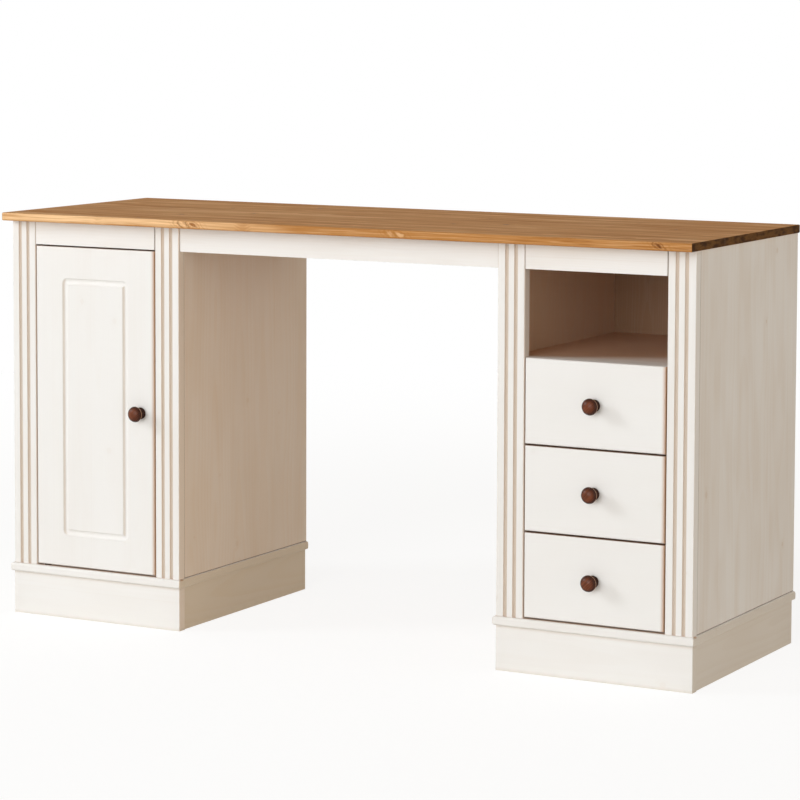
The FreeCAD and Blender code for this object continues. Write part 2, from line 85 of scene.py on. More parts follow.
WHITE_GLAZE = srgb(242, 239, 235)
GLAZE_IN_GRAIN = srgb(224, 211, 196)
# Worn glaze in flutes and joints, also used as painted shade on faces and slopes in shade
GLAZE_WORN_AND_SHADE = srgb(212, 193, 174)
GLAZED_KNOT = srgb(208, 184, 156)
# Painted shade: the next colours darken the glaze where it lies in shade, inside the bays, in the kneehole and low on
# the plinths
SHADED_INSIDE_GLAZE = srgb(230, 202, 176)
SHADED_KNEEHOLE_GLAZE = srgb(236, 211, 182)
SHADED_PLINTH_GLAZE = srgb(214, 202, 184)
SHADED_INNER_PLINTH_GLAZE = srgb(224, 207, 182)
SHADED_COMPARTMENT_BACK = srgb(166, 128, 95)
SHADED_COMPARTMENT_FLOOR = srgb(216, 176, 146)
# Bare wood on hidden faces, also used darker as painted shade in the gaps round the fronts and under them
BARE_EDGE_AND_SHADE = srgb(190, 146, 108)
GAP_SHADE = srgb(132, 94, 66)
SEAM_DIRT_AND_SHADE = srgb(92, 54, 20)

HONEY = srgb(209, 151, 92)
HONEY_PALE = srgb(255, 211, 160)
HONEY_RING = srgb(177, 116, 54)
HONEY_KNOT_RIM = srgb(150, 92, 44)
HONEY_KNOT = srgb(110, 60, 28)
END_GRAIN_PALE = srgb(114, 78, 38)
END_GRAIN_DARK = srgb(66, 40, 14)

BARE_PINE = srgb(226, 194, 150)
BARE_PINE_RING = srgb(204, 158, 106)
BARE_PINE_KNOT = srgb(150, 98, 58)

BEECH = srgb(214, 172, 130)
BEECH_FLECK = srgb(186, 138, 98)

STAINED = srgb(124, 68, 43)
STAINED_DARK = srgb(42, 17, 8)
STAIN_RIM_HIGHLIGHT = srgb(210, 164, 130)

STEEL = srgb(188, 188, 186)
STEEL_DULL = srgb(150, 149, 146)
PLASTIC = srgb(66, 50, 40)
PLASTIC_SCUFF = srgb(92, 74, 62)

# Boards whose grain runs along x and whose thickness is along z, whatever their longest side is
GRAIN_ALONG_X = (
    "left_base_board", "right_base_board", "compartment_shelf", "cupboard_shelf", "left_top_rails", "right_top_rails",
)

# Widths of the staves that boards are glued up from
PANEL_STAVE = 0.078
TOP_STAVE = 0.094
PLINTH_STAVE = 0.13
FRAME_STAVE = 0.09
DOOR_STAVE = 0.087
DRAWER_FRONT_STAVE = 0.16
DRAWER_BOX_STAVE = 0.12
KNOB_STAVE = 0.2

# Growth of the pine. A pair goes from the least to the most, or from none to full.
RING_SPACING = 0.0042
WIDE_RING_SPACING = 0.009
KNOB_RING_SPACING = 0.0036
RING_STRENGTH = (0.45, 1.0)
RING_WOBBLE = 0.0022
LATE_WOOD = (0.25, 0.9)
YEAR_END = (1.0, 0.93)
HEART_DEPTH = (0.012, 0.062)
HEART_LEAN = 0.07
SWAY_ACROSS = 0.02
SWAY_THROUGH = 0.05
GLUE_LINE = (0.0007, 0.0001)
KNOT_PITCH = 0.27
KNOT_CHANCE = (0.52, 0.56)
KNOT_RADIUS = (0.0022, 0.007)
# Reach of a knot and of the grain bent round it, in radii
KNOT_REACH = (1.15, 0.75)
HALO_REACH = (3.4, 0.9)
EDGE_KNOT_RADIUS = 0.0085
EDGE_KNOT_FLATNESS = 0.75
EDGE_KNOT_LEAN = 0.7

# Relief, roughness and shine of the finishes
GLAZE_RELIEF = 0.00008
WAX_RELIEF = 0.0001
BARE_PINE_RELIEF = 0.00012
BEECH_RELIEF = 0.00008
KNOB_RELIEF = 0.00006
STEEL_RELIEF = 0.00003
PLASTIC_RELIEF = 0.00005
GLAZE_ROUGHNESS = (0.42, 0.6)
WAX_ROUGHNESS = (0.6, 0.76)
BARE_PINE_ROUGHNESS = (0.5, 0.7)
BEECH_ROUGHNESS = (0.38, 0.58)
KNOB_ROUGHNESS = (0.18, 0.32)
STEEL_ROUGHNESS = (0.22, 0.47)
PLASTIC_ROUGHNESS = (0.4, 0.6)
WAX_SHINE = 0.05
LACQUER_SHINE = 0.15

# Scales of noise along, across and through a board: a higher one makes marks shorter there
STREAKS = (3.0, 160.0, 160.0)
CLOUDS = (3.5, 7.0, 7.0)
FIBRES = (9.0, 620.0, 620.0)
WOBBLES = (5.0, 45.0, 45.0)
FLECKS = (120.0, 1400.0, 1400.0)
# Scales that brush marks are changed by
GLAZE_PATCHES = (1.8, 4.0, 4.0)
LONG_BANDS = (0.55, 0.28, 0.28)
SHORT_BANDS = (2.2, 0.4, 0.4)
FRONT_LINES = (4.0, 2.6, 1.0)
END_GRAIN_BANDS = (0.0, 0.25, 0.8)
KNOB_MARKS = (3.0, 2.0, 1.0)
STEEL_MARKS = (4.0, 9.0, 9.0)
STEEL_SEED = 2.4

# Where the top's front edge gets painted light at the left and painted shade at the right, and how strong a streak
# makes a pale or a dark band, none to full
PALE_END = (0.3, -0.5)
SHADED_END = (-0.3, 0.5)
PALE_BAND = (0.52, 0.72)
DARK_BAND = (0.48, 0.28)

# Cosines of the angles at which a face begins to count as looking in a direction, and fully does
FACING = (0.35, 0.7)
FACING_LOOSELY = (0.1, 0.5)
FACING_SQUARELY = (0.6, 0.95)
FACING_FRONT = (0.05, 0.4)

# Depths behind a face where the glaze begins to be rubbed and fully is, and how streaks and grain vary worn glaze
RUB_DEPTH = (0.0004, 0.0014)
RUB_STREAKS = (0.6, 1.1)
THIN_GRAIN = (0.86, 0.98)
# Sizes of worn and dirty places, and of painted shade and shadow lines
DOOR_RIM = 0.02
NO_RIM = -1.0
SHADOW_LINE_WIDTH = 0.007
SEAM_LINE = 0.002
EDGE_REACH = 0.008
EDGE_SHADE = 0.005
WORN_SHADED_RIM = 0.008
GAP_SHADE_DEPTH = 0.009
# Depth of the painted light wedge that keeps the compartment floor's front white, for each metre from the left
LIT_SHELF_WEDGE = 0.62
# Place of a knob's rim as a share of its reach, half width of the painted highlight line on it, and depth over which
# the painted shade behind it starts
KNOB_RIM_SHARE = 0.64
KNOB_HIGHLIGHT_LINE = (0.0016, 0.0008)
KNOB_SHADE_START = 0.002
# How far the grain follows a knob's depth
KNOB_DEPTH_SCALE = 0.2


class ThinAndShaded(NamedTuple):
    """Less glaze on the sides that look in some directions, in a share that the grain varies a little; most uses are
    painted shade on faces that lie in shade.
    """
    ways: tuple
    wood: tuple
    share: float


class Line(NamedTuple):
    """Line of a colour across an axis, on the sides that look in some directions, or on all; seams, worn rims with
    painted shade, and painted shadow lines use it.
    """
    axis: str
    place: float
    width: float
    stain: tuple
    share: float
    ways: tuple = ()


class RubAndShade(NamedTuple):
    """Glaze rubbed off what lies behind a face, inside a rim that is kept, and on one side of it, or on all; kept to
    one side, it is painted shade on the slopes that face away from the light.
    """
    share: float
    kept_rim: float = NO_RIM
    way: tuple = None


class BareShadedEdge(NamedTuple):
    """Edge without glaze, at the low or high end of an axis, on the side that looks in one direction, darkened as
    painted shade where it shows in a gap.
    """
    way: tuple
    axis: str
    at_high: bool
    wood: tuple


class EdgeKnot(NamedTuple):
    """Branch cut through on the top's front edge."""
    x: float
    heart_wood: tuple
    heart_share: float
    bark_share: float


# Painted shade: the fronts' side and top edges, seen in the gaps, are darkened for the shade there, the top ones most
SIDE_EDGES = (BareShadedEdge(LEFTWARD, "x", False, BARE_EDGE_AND_SHADE), BareShadedEdge(RIGHTWARD, "x", True, BARE_EDGE_AND_SHADE))
TOP_EDGE = BareShadedEdge(UPWARD, "z", True, GAP_SHADE)
EDGE_KNOTS = (
    EdgeKnot(-0.298, HONEY_PALE, 0.6, 0.4),
    EdgeKnot(-0.276, HONEY_KNOT_RIM, 0.75, 0.0),
    EdgeKnot(0.13, HONEY_PALE, 0.4, 0.0),
    EdgeKnot(0.149, HONEY_PALE, 0.5, 0.0),
    EdgeKnot(0.641, HONEY_KNOT, 0.95, 0.5),
)


class Web:
    """Places and joins shader nodes in one tree."""

    def __init__(self, tree):
        self.tree = tree

    def node(self, kind, **settings):
        node = self.tree.nodes.new("ShaderNode" + kind)
        for name, value in settings.items():
            setattr(node, name, value)
        return node

    def feed(self, socket, value):
        if isinstance(value, bpy.types.NodeSocket):
            self.tree.links.new(value, socket)
        else:
            socket.default_value = value

    def math(self, operation, *values, clamp=False):
        node = self.node("Math", operation=operation, use_clamp=clamp)
        for socket, value in zip(node.inputs, values):
            self.feed(socket, value)
        return node.outputs[0]

    def add(self, *values):
        total = values[0]
        for value in values[1:]:
            total = self.math("ADD", total, value)
        return total

    def times(self, *values):
        product = values[0]
        for value in values[1:]:
            product = self.math("MULTIPLY", product, value)
        return product

    def less(self, first, second):
        return self.math("SUBTRACT", first, second)

    def span(self, value, low, high):
        """Low where a value is 0, high where it is 1, and straight between and beyond."""
        return self.add(self.times(value, high - low), low)

    def length(self, first, second):
        return self.math("SQRT", self.add(self.times(first, first), self.times(second, second)))

    def step(self, value, low, high):
        """0 at low and 1 at high, smooth between."""
        node = self.node("MapRange", interpolation_type="SMOOTHSTEP")
        self.feed(node.inputs["Value"], value)
        self.feed(node.inputs["From Min"], low)
        self.feed(node.inputs["From Max"], high)
        return node.outputs["Result"]

    def scaled(self, places, scales):
        return [self.times(place, scale) for place, scale in zip(places, scales)]

    def vector(self, x, y, z):
        node = self.node("CombineXYZ")
        for socket, value in zip(node.inputs, (x, y, z)):
            self.feed(socket, value)
        return node.outputs[0]

    def split(self, vector):
        node = self.node("SeparateXYZ")
        self.feed(node.inputs[0], vector)
        return node.outputs

    def part_place(self):
        """Place in the part's frame: x, y and z."""
        return self.split(self.node("TexCoord").outputs["Object"])

    def chance(self, x, y, z):
        """Four fixed random values for a numbered cell."""
        node = self.node("TexWhiteNoise", noise_dimensions="3D")
        self.feed(node.inputs["Vector"], self.vector(x, y, z))
        colour = self.node("SeparateColor")
        self.feed(colour.inputs[0], node.outputs["Color"])
        return (*colour.outputs, node.outputs["Value"])

    def noise(self, vector, detail=2.0, roughness=0.5, scale=1.0):
        node = self.node("TexNoise", noise_dimensions="3D")
        self.feed(node.inputs["Vector"], vector)
        self.feed(node.inputs["Scale"], scale)
        self.feed(node.inputs["Detail"], detail)
        self.feed(node.inputs["Roughness"], roughness)
        return node.outputs["Fac"]

    def mix(self, share, first, second):
        node = self.node("Mix", data_type="RGBA")
        sockets = {socket.identifier: socket for socket in node.inputs}
        self.feed(sockets["Factor_Float"], share)
        self.feed(sockets["A_Color"], first)
        self.feed(sockets["B_Color"], second)
        return next(s for s in node.outputs if s.identifier == "Result_Color")

    def coats(self, colour, *layers):
        """Colour under layers, from the lowest up, each with its share and its colour."""
        for share, layer in layers:
            colour = self.mix(share, colour, layer)
        return colour

    def group(self, tree, **values):
        """Places a node group; an input's name is written with _ for each space."""
        node = self.node("Group", node_tree=tree)
        for name, value in values.items():
            self.feed(node.inputs[name.replace("_", " ")], value)
        return node.outputs


# Node groups

PLACES = ("Along", "Across", "Through")
GRAIN = ("Rings", "Fibres", "Stave Tone", "Joint", "Knots", "Knot Halo")
LOOK = ("Colour", "Roughness", "Height")
# Group sockets that don't hold a plain number
SOCKET_KINDS = {"Colour": "NodeSocketColor", "Normal": "NodeSocketVector", "Way": "NodeSocketVector"}


def new_group(name, inputs, outputs):
    """Empty node group with named sockets: the group, its web, its inputs and what it gives out."""
    tree = bpy.data.node_groups.new(name, "ShaderNodeTree")
    for words, in_out in ((inputs, "INPUT"), (outputs, "OUTPUT")):
        for word in words:
            tree.interface.new_socket(word, in_out=in_out, socket_type=SOCKET_KINDS.get(word, "NodeSocketFloat"))
    web = Web(tree)
    given = tree.nodes.new("NodeGroupInput").outputs
    gives = tree.nodes.new("NodeGroupOutput").inputs
    return tree, web, given, gives


def make_pine_grain():
    """Growth rings, fibres and knots of sawn pine, glued up from staves."""
    inputs = (*PLACES, "Stave Width", "Ring Spacing", "Seed")
    tree, web, given, gives = new_group("pine_grain", inputs, GRAIN)
    along, across, through, stave_width, ring_spacing, seed = (given[word] for word in inputs)
    places = (along, across, through)

    # Each stave is sawn from its own place in a trunk, and odd factors keep staves from looking alike.
    place = web.add(web.math("DIVIDE", across, stave_width), seed)
    stave = web.math("FLOOR", place)
    off_middle = web.times(web.less(web.math("FRACT", place), 0.5), stave_width)
    heart_side, heart_depth, lean, tone = web.chance(stave, seed, 3.7)
    side = web.times(web.less(heart_side, 0.5), stave_width)
    depth = web.span(heart_depth, *HEART_DEPTH)
    drift = web.times(web.less(lean, 0.5), along, HEART_LEAN)
    shift = web.add(web.times(stave, 17.3), web.times(seed, 9.1))
    sway = web.less(web.noise(web.vector(web.add(web.times(along, 1.7), shift), 0.0, 0.0)), 0.5)

    # At most one knot in each length of a stave
    run = web.add(web.math("DIVIDE", along, KNOT_PITCH), web.times(tone, 5.0))
    knot_along, knot_across, knot_size, knot_here = web.chance(web.math("FLOOR", run), stave, seed)
    run_off = web.less(web.math("FRACT", run), web.span(knot_along, 0.25, 0.75))
    side_off = web.less(off_middle, web.times(web.less(knot_across, 0.5), stave_width, 0.7))
    radius = web.span(knot_size, *KNOT_RADIUS)
    reach = web.length(web.times(run_off, KNOT_PITCH), web.times(side_off, 1.2))
    ragged = web.noise(web.vector(web.times(along, 260.0), web.times(across, 260.0), shift))
    reach = web.add(web.math("DIVIDE", reach, radius), web.times(web.less(ragged, 0.5), 0.5))
    there = web.step(knot_here, *KNOT_CHANCE)
    knots = web.times(web.step(reach, *KNOT_REACH), there)
    halo = web.times(web.step(reach, *HALO_REACH), there)

    # Rings lie round the heart of the trunk and bend round the knots.
    wobble = web.noise(web.vector(*web.scaled(places, WOBBLES)))
    ring_side = web.add(web.less(off_middle, side), web.times(sway, SWAY_ACROSS))
    ring_depth = web.add(through, depth, drift, web.times(sway, SWAY_THROUGH))
    out = web.add(web.length(ring_side, ring_depth), web.times(halo, radius, 0.9), web.times(wobble, RING_WOBBLE))
    year = web.math("DIVIDE", out, ring_spacing)
    season = web.math("FRACT", year)
    strength = web.chance(web.math("FLOOR", year), stave, seed)[3]
    late_wood = web.times(web.step(season, *LATE_WOOD), web.step(season, *YEAR_END))

    edge_off = web.less(web.times(stave_width, 0.5), web.math("ABSOLUTE", off_middle))
    web.feed(gives["Rings"], web.times(late_wood, web.span(strength, *RING_STRENGTH)))
    web.feed(gives["Fibres"], web.noise(web.vector(*web.scaled(places, FIBRES)), detail=3.0, roughness=0.6))
    web.feed(gives["Stave Tone"], tone)
    web.feed(gives["Joint"], web.step(edge_off, *GLUE_LINE))
    web.feed(gives["Knots"], knots)
    web.feed(gives["Knot Halo"], halo)
    return tree


def make_rubbed_glaze():
    """Where the glaze is rubbed thin: flutes, eased edges and the routed line, all behind the face."""
    inputs = ("Behind Face", "Facing Front", "From Outline", "Kept Rim")
    tree, web, given, gives = new_group("rubbed_glaze", inputs, ("Mask",))
    behind, facing, from_outline, kept_rim = (given[word] for word in inputs)
    low_spots = web.times(web.step(behind, *RUB_DEPTH), web.step(facing, *FACING_FRONT))
    web.feed(gives["Mask"], web.times(low_spots, web.math("GREATER_THAN", from_outline, kept_rim)))
    return tree


def make_brush_marks():
    """Long faint marks of a brush or a polishing cloth along the board, and cloudy patches."""
    tree, web, given, gives = new_group("brush_marks", (*PLACES, "Seed"), ("Streak", "Cloud"))
    for name, scales, detail in (("Streak", STREAKS, 2.0), ("Cloud", CLOUDS, 1.0)):
        along, across, through = web.scaled([given[word] for word in PLACES], scales)
        spot = web.vector(web.add(along, given["Seed"]), across, through)
        web.feed(gives[name], web.noise(spot, detail=detail))
    return tree


def make_facing_side():
    """Mask of the faces that look along a direction."""
    tree, web, given, gives = new_group("facing_side", ("Normal", "Way", "Start", "Full"), ("Mask",))
    facing = web.node("VectorMath", operation="DOT_PRODUCT")
    web.feed(facing.inputs[0], given["Normal"])
    web.feed(facing.inputs[1], given["Way"])
    web.feed(gives["Mask"], web.step(facing.outputs["Value"], given["Start"], given["Full"]))
    return tree


def make_near_line():
    """Mask of a line across a board: 1 at its place and 0 beyond its reach."""
    tree, web, given, gives = new_group("near_line", ("Place", "Line", "Reach"), ("Mask",))
    off = web.math("ABSOLUTE", web.less(given["Place"], given["Line"]))
    web.feed(gives["Mask"], web.step(off, given["Reach"], 0.0))
    return tree


def make_white_glaze():
    """Thin white glaze, through which grain, small knots and glued joints show."""
    inputs = (*GRAIN, "Streak", "Cloud", "Patches", "Show")
    tree, web, given, gives = new_group("white_glaze", inputs, LOOK)
    show = given["Show"]
    showing = web.add(
        web.times(given["Rings"], 0.18),
        web.times(web.step(given["Patches"], 0.4, 0.7), 0.28),
        web.times(web.less(given["Fibres"], 0.35), 0.35),
        web.times(web.less(given["Cloud"], 0.4), 0.9),
        web.times(given["Stave Tone"], 0.16),
    )
    colour = web.coats(
        WHITE_GLAZE,
        (web.math("MULTIPLY", showing, show, clamp=True), GLAZE_IN_GRAIN),
        (web.times(given["Knot Halo"], show, 0.2), GLAZE_IN_GRAIN),
        (web.times(given["Knots"], show, 0.35), GLAZED_KNOT),
        (web.times(given["Joint"], show, 0.3), GLAZE_WORN_AND_SHADE),
    )
    sunk = web.add(given["Rings"], web.times(given["Joint"], 0.8))
    web.feed(gives["Colour"], colour)
    web.feed(gives["Roughness"], web.span(given["Streak"], *GLAZE_ROUGHNESS))
    web.feed(gives["Height"], web.less(web.times(given["Streak"], 0.4), sunk))
    return tree


def make_sanded_pine():
    """Sanded pine without a finish."""
    tree, web, given, gives = new_group("sanded_pine", ("Rings", "Fibres", "Knots", "Streak"), LOOK)
    colour = web.coats(
        BARE_PINE,
        (web.times(given["Rings"], 0.55), BARE_PINE_RING),
        (web.times(web.step(given["Fibres"], 0.45, 0.8), 0.3), BARE_PINE_RING),
        (web.times(given["Knots"], 0.85), BARE_PINE_KNOT),
    )
    web.feed(gives["Colour"], colour)
    web.feed(gives["Roughness"], web.span(given["Streak"], *BARE_PINE_ROUGHNESS))
    web.feed(gives["Height"], web.less(web.times(given["Streak"], 0.3), given["Rings"]))
    return tree


def make_beech_flecks():
    """Close beech grain with short flecks."""
    tree, web, given, gives = new_group("beech_flecks", (*PLACES, "Streak"), LOOK)
    spot = web.vector(*web.scaled([given[word] for word in PLACES], FLECKS))
    fleck = web.noise(spot, detail=1.0)
    colour = web.coats(
        BEECH,
        (web.step(fleck, 0.58, 0.7), BEECH_FLECK),
        (web.times(given["Streak"], 0.35), BEECH_FLECK),
    )
    web.feed(gives["Colour"], colour)
    web.feed(gives["Roughness"], web.span(given["Streak"], *BEECH_ROUGHNESS))
    web.feed(gives["Height"], fleck)
    return tree


def make_knob_stain_and_shade():
    """Dark stain on a turned knob, with painted shade round its head and behind its rim, and a painted highlight line
    on its rim.
    """
    inputs = ("Rings", "Streak", "From Middle", "Head", "Behind Rim")
    tree, web, given, gives = new_group("knob_stain", inputs, ("Colour", "Roughness"))
    rings, streak, from_middle, head, behind_rim = (given[word] for word in inputs)
    on_rim = web.step(web.math("ABSOLUTE", behind_rim), *KNOB_HIGHLIGHT_LINE)
    colour = web.coats(
        STAINED,
        (web.times(rings, 0.5), STAINED_DARK),
        (web.times(web.step(streak, 0.4, 0.7), 0.5), STAINED_DARK),
        # Painted shade round the head's edge and behind the rim, and a painted highlight line on the rim
        (web.times(web.step(from_middle, web.times(head, 0.5), head), 0.85), STAINED_DARK),
        (web.times(web.step(behind_rim, 0.0, KNOB_SHADE_START), 0.85), STAINED_DARK),
        (web.times(on_rim, web.span(streak, 0.5, 0.9)), STAIN_RIM_HIGHLIGHT),
    )
    web.feed(gives["Colour"], colour)
    web.feed(gives["Roughness"], web.span(streak, *KNOB_ROUGHNESS))
    return tree


PINE_GRAIN = make_pine_grain()
RUBBED_GLAZE = make_rubbed_glaze()
BRUSH_MARKS = make_brush_marks()
FACING_SIDE = make_facing_side()
NEAR_LINE = make_near_line()
WHITE_GLAZE_LOOK = make_white_glaze()
SANDED_PINE = make_sanded_pine()
BEECH_FLECKS = make_beech_flecks()
KNOB_STAIN_AND_SHADE = make_knob_stain_and_shade()


# Materials

def new_material(name):
    """Material with one shader: its web and that shader."""
    material = bpy.data.materials.new(name)
    material.use_nodes = True
    shader = material.node_tree.nodes["Principled BSDF"]
    return material, Web(material.node_tree), shader


def lay_on(web, shader, colour, roughness, height, relief):
    """Feeds a finish's colour, roughness and relief to its shader."""
    web.feed(shader.inputs["Base Color"], colour)
    web.feed(shader.inputs["Roughness"], roughness)
    bump = web.node("Bump")
    web.feed(bump.inputs["Height"], height)
    bump.inputs["Strength"].default_value = 1.0
    bump.inputs["Distance"].default_value = relief
    web.feed(shader.inputs["Normal"], bump.outputs["Normal"])


def lay_look(web, shader, look, relief):
    """Feeds what a look's group gives out to a shader."""
    lay_on(web, shader, look["Colour"], look["Roughness"], look["Height"], relief)


def grain_directions(node):
    """Axes of a board along the grain, across it and through its thickness."""
    if node in GRAIN_ALONG_X:
        return AXES
    low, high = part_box(node)
    size = {axis: high[i] - low[i] for i, axis in enumerate(AXES)}
    return sorted(size, key=size.get, reverse=True)


def board_place(web, node):
    """Places along, across and through a board, from its own middle."""
    sockets = web.part_place()
    middle = middle_of(node)
    numbers = [AXES.index(axis) for axis in grain_directions(node)]
    return [web.less(sockets[i], middle[i]) for i in numbers]


def seed_of(node):
    """Number from 0 to about 97 that is always the same for a node."""
    return sum((i + 1) * ord(letter) for i, letter in enumerate(node)) % 971 / 10


def pine_grain(web, node, places, stave_width, ring_spacing):
    """Grain of a node's pine."""
    return web.group(
        PINE_GRAIN, Stave_Width=stave_width, Ring_Spacing=ring_spacing, Seed=seed_of(node),
        **dict(zip(PLACES, places)),
    )


def brush_marks(web, seed, places, scales=None):
    """Brush marks at places along, across and through, which scales can change."""
    if scales:
        places = web.scaled(places, scales)
    return web.group(BRUSH_MARKS, Seed=seed, **dict(zip(PLACES, places)))


def shared(outputs, words):
    """Sockets that one group gives and another takes under the same names."""
    return {word.replace(" ", "_"): outputs[word] for word in words}


def from_outline(web, place, low, high):
    """Distance from a front's outline, seen from the front."""
    nearest = None
    for i in (0, 2):
        for off in (web.less(place[i], low[i]), web.less(high[i], place[i])):
            nearest = off if nearest is None else web.math("MINIMUM", nearest, off)
    return nearest


def side_mask(web, ways, limits=FACING):
    """Mask of the faces that look along any of some directions."""
    normal = web.node("TexCoord").outputs["Normal"]
    widest = None
    for way in ways:
        mask = web.group(FACING_SIDE, Normal=normal, Way=way, Start=limits[0], Full=limits[1])["Mask"]
        widest = mask if widest is None else web.math("MAXIMUM", widest, mask)
    return widest


def near(web, axis, place, reach):
    """Mask that is 1 at a place along an axis and 0 beyond a reach."""
    spot = web.part_place()[AXES.index(axis)]
    return web.group(NEAR_LINE, Place=spot, Line=place, Reach=reach)["Mask"]


def thin_mask(web, node, thin, uneven, pale_front):
    """Where a board has less glaze, mostly as painted shade. A painted light strip at the front keeps it white,
    further in to the right.
    """
    there = web.times(side_mask(web, thin.ways), uneven, thin.share)
    if not pale_front:
        return there
    from_left = web.less(web.part_place()[0], end_of(node, "x", False))
    kept = near(web, "y", end_of(node, "y", False), web.times(from_left, pale_front))
    return web.times(there, web.less(1.0, kept))


def line_mask(web, line):
    there = web.times(near(web, line.axis, line.place, line.width), line.share)
    return web.times(there, side_mask(web, line.ways)) if line.ways else there


def rub_mask(web, node, rub, streak):
    low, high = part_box(node)
    spots = web.node("TexCoord").outputs
    place = web.split(spots["Object"])
    mask = web.group(
        RUBBED_GLAZE,
        Behind_Face=web.less(place[1], low[1]),
        Facing_Front=web.times(web.split(spots["Normal"])[1], -1.0),
        From_Outline=from_outline(web, place, low, high),
        Kept_Rim=rub.kept_rim,
    )["Mask"]
    there = web.times(mask, web.span(streak, *RUB_STREAKS), rub.share)
    # Kept to faces that look one way, the rubbed colour is painted shade on the slopes that face away from the light
    return web.times(there, side_mask(web, (rub.way,), FACING_LOOSELY)) if rub.way else there


def edge_mask(web, node, edge):
    there = near(web, edge.axis, end_of(node, edge.axis, edge.at_high), EDGE_REACH)
    return web.times(side_mask(web, (edge.way,), FACING_SQUARELY), there)


def white_glazed(node, stave_width=PANEL_STAVE, ring_spacing=RING_SPACING, show=0.8, thin=(), pale_front=0.0,
                 lines=(), rub=None, bare_edges=()):
    """White glaze over pine: grain and small knots show through, worn edges show the wood, and faces and edges in
    shade get painted shade.

    Show is how strongly the grain shows, and the lit front how fast a strip at the front, kept white as painted
    light, widens to the right.
    """
    material, web, shader = new_material("white_glazed." + node)
    places = board_place(web, node)
    grain = pine_grain(web, node, places, stave_width, ring_spacing)
    marks = brush_marks(web, seed_of(node), places)
    patches = brush_marks(web, seed_of(node), places, GLAZE_PATCHES)["Cloud"]
    look = web.group(
        WHITE_GLAZE_LOOK, Streak=marks["Streak"], Cloud=marks["Cloud"], Patches=patches, Show=show,
        **shared(grain, GRAIN),
    )
    uneven = web.span(web.add(grain["Rings"], grain["Fibres"]), *THIN_GRAIN)
    layers = [(thin_mask(web, node, side, uneven, pale_front), side.wood) for side in thin]
    layers += [(line_mask(web, line), line.stain) for line in lines]
    if rub:
        layers.append((rub_mask(web, node, rub, marks["Streak"]), GLAZE_WORN_AND_SHADE))
    layers += [(edge_mask(web, node, edge), edge.wood) for edge in bare_edges]
    colour = web.coats(look["Colour"], *layers)
    lay_on(web, shader, colour, look["Roughness"], look["Height"], GLAZE_RELIEF * show)
    return material


def edge_knot_layers(web, node, knot, front):
    """A branch cut through on the front edge: the grain bent round it, its heart and its dark bark."""
    x, _, z = web.part_place()
    along = web.math("DIVIDE", web.less(x, knot.x), EDGE_KNOT_RADIUS)
    up = web.math("DIVIDE", web.less(z, middle_of(node)[2]), EDGE_KNOT_RADIUS * EDGE_KNOT_FLATNESS)
    bend = web.noise(web.vector(web.times(x, 110.0), web.times(z, 160.0), knot.x), detail=3.0)
    leaning = web.add(along, web.times(up, EDGE_KNOT_LEAN))
    reach = web.add(web.length(leaning, up), web.times(web.less(bend, 0.5), 1.6))
    waves = web.math("SINE", web.times(reach, 6.5))
    swirl = web.times(web.step(reach, 4.2, 1.0), web.step(waves, -0.2, 0.9))
    heart = web.step(reach, 0.9, 0.3)
    beside = web.step(web.math("ABSOLUTE", leaning), 0.3, 0.9)
    bark = web.times(web.step(reach, 1.5, 1.1), web.step(reach, 0.7, 1.0), beside)
    return [
        (web.times(swirl, front, 0.5), HONEY_RING),
        (web.times(heart, front, knot.heart_share), knot.heart_wood),
        (web.times(bark, front, knot.bark_share), HONEY_KNOT),
    ]


def end_grain(web, node, places, rings):
    """Dark colour of the sawn ends."""
    bands = brush_marks(web, seed_of(node), places, END_GRAIN_BANDS)["Streak"]
    return web.coats(
        END_GRAIN_DARK,
        (web.step(bands, 0.35, 0.65), END_GRAIN_PALE),
        (web.times(rings, 0.4), END_GRAIN_DARK),
    )


